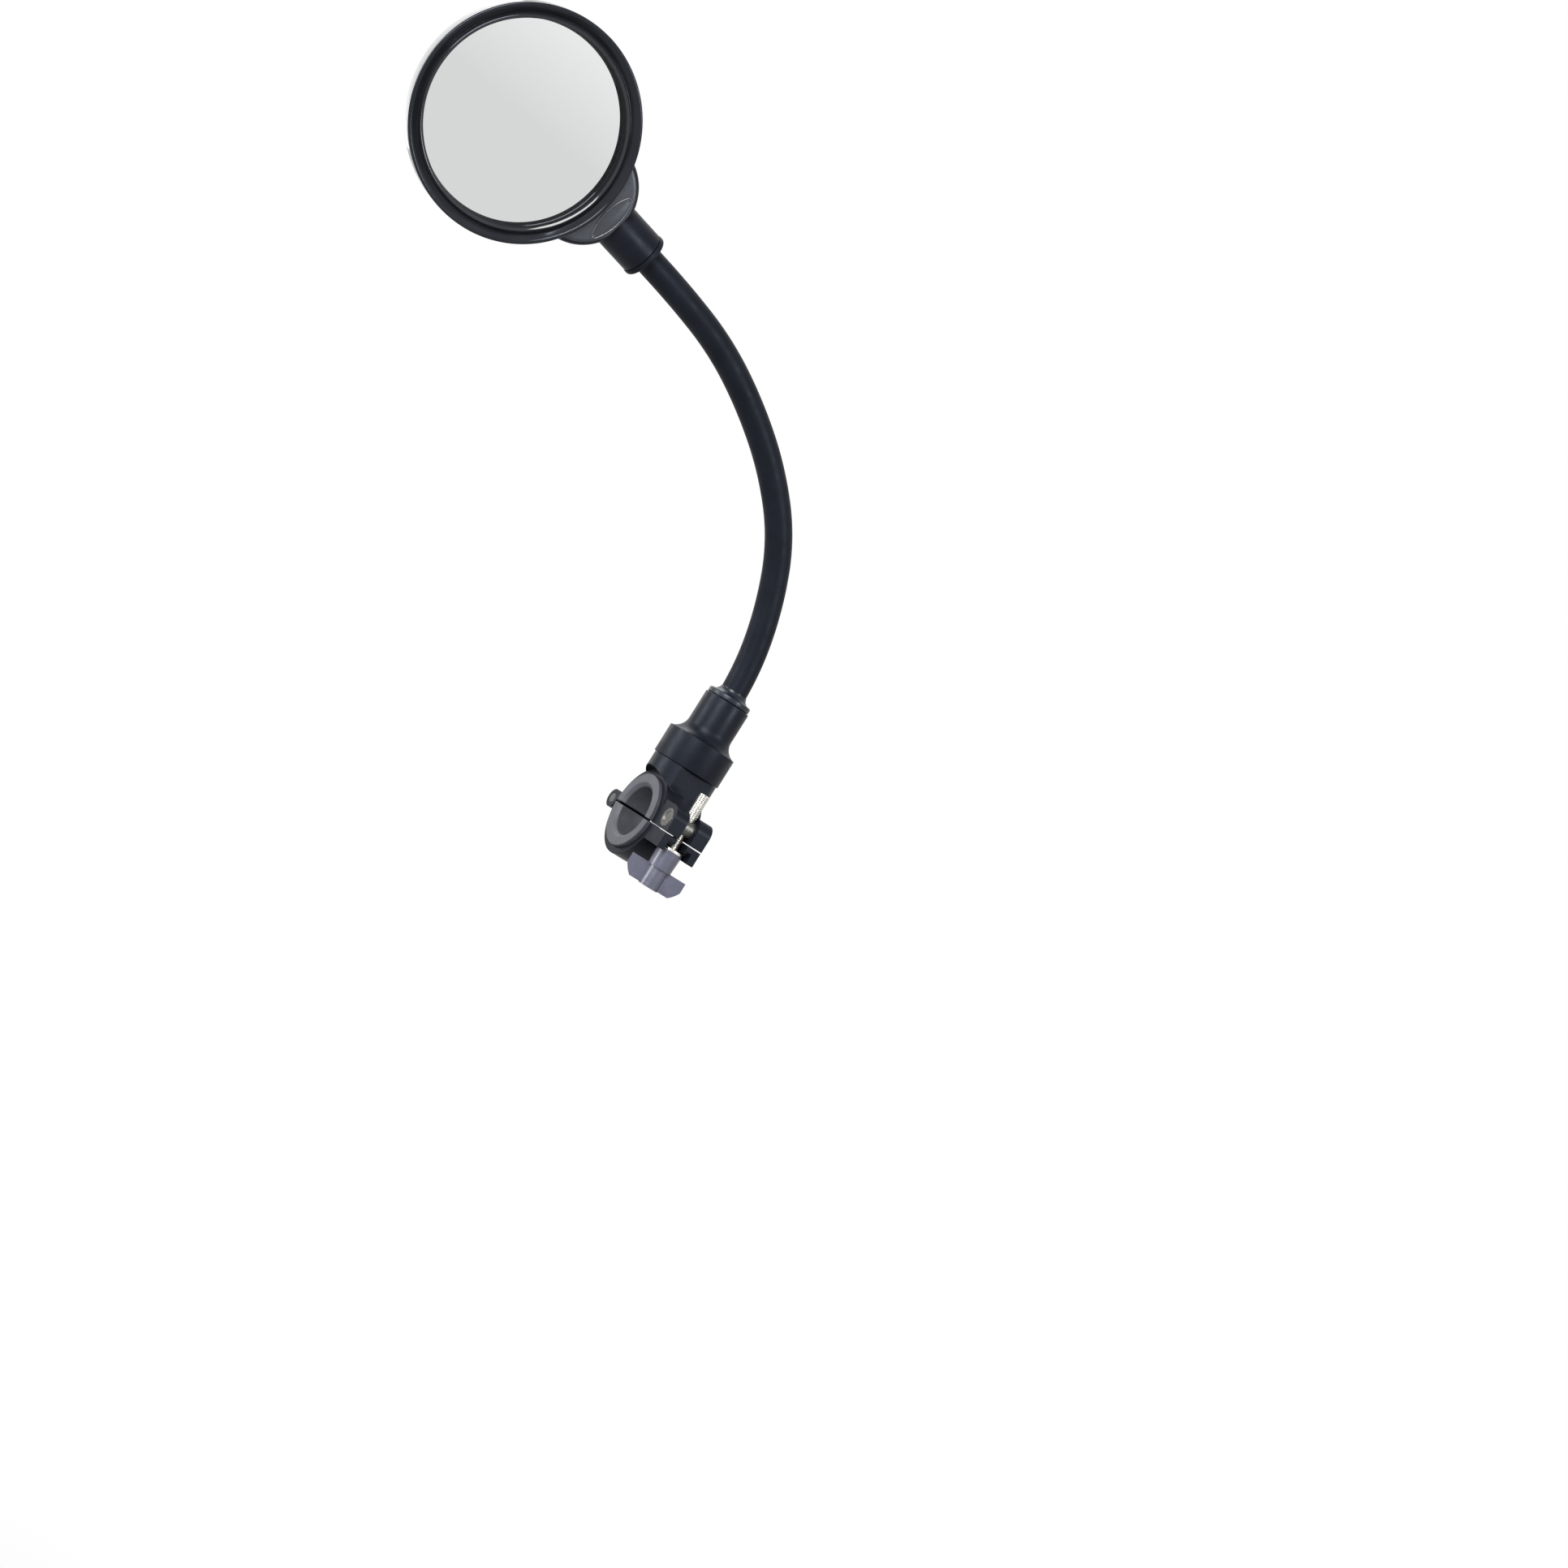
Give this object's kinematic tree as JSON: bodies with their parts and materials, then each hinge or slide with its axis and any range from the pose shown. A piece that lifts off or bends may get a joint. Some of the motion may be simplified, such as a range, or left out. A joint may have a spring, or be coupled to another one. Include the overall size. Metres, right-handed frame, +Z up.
{
  "type": "bike mirror",
  "caption": "Round convex mirror on a rubber-covered gooseneck arm, with a swivel collar and a hinged handlebar clamp closed by a swing bolt and wing knob.",
  "frame": {"origin": "centre of the handlebar bore of the clamp", "axes": "+X along the handlebar, +Z up the collar, the mirror faces -Y"},
  "size_m": [0.2662, 0.0605, 0.2638],
  "materials": {
    "black_plastic": "satin, fine grain",
    "grained_plastic": "matt, spark-eroded grain",
    "gloss_black": "polished",
    "grey_shim": "soft matt",
    "knob_plastic": "satin",
    "black_rubber": "soft matt",
    "steel": "bright zinc",
    "mirror_glass": "polished, silvered",
    "foam": "closed-cell foam"
  },
  "bodies": {
    "clamp": {"upper_jaw": "black_plastic", "upper_shim": "grey_shim", "hinge_pin": "steel"},
    "lower_jaw": {"lower_jaw": "black_plastic", "lower_shim": "grey_shim"},
    "trunnion": {"trunnion_nut": "steel"},
    "washer": {"clamp_washer": "steel"},
    "knob": {"wing_knob": "knob_plastic", "swing_bolt": "steel"},
    "collar": {"collar": "black_plastic", "lower_ferrule": "steel", "lower_arm_cap": "black_rubber", "swivel_screw": "steel", "swivel_washer": "steel", "link_1": "steel", "arm_sleeve": "black_rubber"},
    "arm_2": {"link_2": "steel"},
    "arm_3": {"link_3": "steel"},
    "arm_4": {"link_4": "steel"},
    "arm_5": {"link_5": "steel"},
    "arm_6": {"link_6": "steel"},
    "arm_end": {"link_7": "steel", "upper_ferrule": "steel", "upper_arm_cap": "black_rubber", "neck_screw": "steel"},
    "head": {"neck_socket": "black_plastic", "neck_washer": "steel", "back_shell": "grained_plastic", "oval_cap": "grained_plastic", "bezel": "gloss_black", "mirror_glass": "mirror_glass", "glass_pad": "foam"}
  },
  "joints": [
    {"name": "jaw_hinge", "type": "hinge", "parent": "clamp", "child": "lower_jaw", "pos_m": [0, 0.024, -0.00045], "axis": [1, 0, 0], "range_deg": [0, 7.16]},
    {"name": "bolt_swing", "type": "hinge", "parent": "clamp", "child": "trunnion", "pos_m": [0, -0.026, 0.0049], "axis": [-1, 0, 0], "range_deg": [0, 36]},
    {"name": "washer_travel", "type": "slide", "parent": "trunnion", "child": "washer", "axis": [0, 0, 1], "range_m": [-0.0064, 0]},
    {"name": "knob_turn", "type": "hinge", "parent": "washer", "child": "knob", "pos_m": [0, -0.026, -0.01], "axis": [0, 0, 1], "range_deg": [-2884, 0]},
    {"name": "collar_swivel", "type": "hinge", "parent": "clamp", "child": "collar", "pos_m": [0, 0, 0.0252], "axis": [0, 0, 1], "range_deg": [-170, 170]},
    {"name": "arm_bend_1", "type": "hinge", "parent": "collar", "child": "arm_2", "pos_m": [-0.00345, 0, 0.08576], "axis": [0, -1, 0], "range_deg": [-12, 12], "deforming": ["arm_sleeve"]},
    {"name": "arm_bend_2", "type": "hinge", "parent": "arm_2", "child": "arm_3", "pos_m": [-0.01294, 0, 0.11206], "axis": [0, -1, 0], "range_deg": [-12, 12], "deforming": ["arm_sleeve"]},
    {"name": "arm_bend_3", "type": "hinge", "parent": "arm_3", "child": "arm_4", "pos_m": [-0.02882, 0, 0.13498], "axis": [0, -1, 0], "range_deg": [-12, 12], "deforming": ["arm_sleeve"]},
    {"name": "arm_bend_4", "type": "hinge", "parent": "arm_4", "child": "arm_5", "pos_m": [-0.05012, 0, 0.15308], "axis": [0, -1, 0], "range_deg": [-12, 12], "deforming": ["arm_sleeve"]},
    {"name": "arm_bend_5", "type": "hinge", "parent": "arm_5", "child": "arm_6", "pos_m": [-0.07422, 0, 0.16728], "axis": [0, -1, 0], "range_deg": [-12, 12], "deforming": ["arm_sleeve"]},
    {"name": "arm_bend_6", "type": "hinge", "parent": "arm_6", "child": "arm_end", "pos_m": [-0.10041, 0, 0.17704], "axis": [0, -1, 0], "range_deg": [-12, 12], "deforming": ["arm_sleeve"]},
    {"name": "head_swivel", "type": "hinge", "parent": "arm_end", "child": "head", "pos_m": [-0.12774, 0, 0.1831], "axis": [-0.9833, 0, 0.1822], "range_deg": [-100, 100]}
  ],
  "couplings": [
    {"joint": "knob_turn", "follows": "washer_travel", "rad_per_m": 7854},
    {"joint": "jaw_hinge", "follows": "washer_travel", "rad_per_m": -19.4}
  ]
}
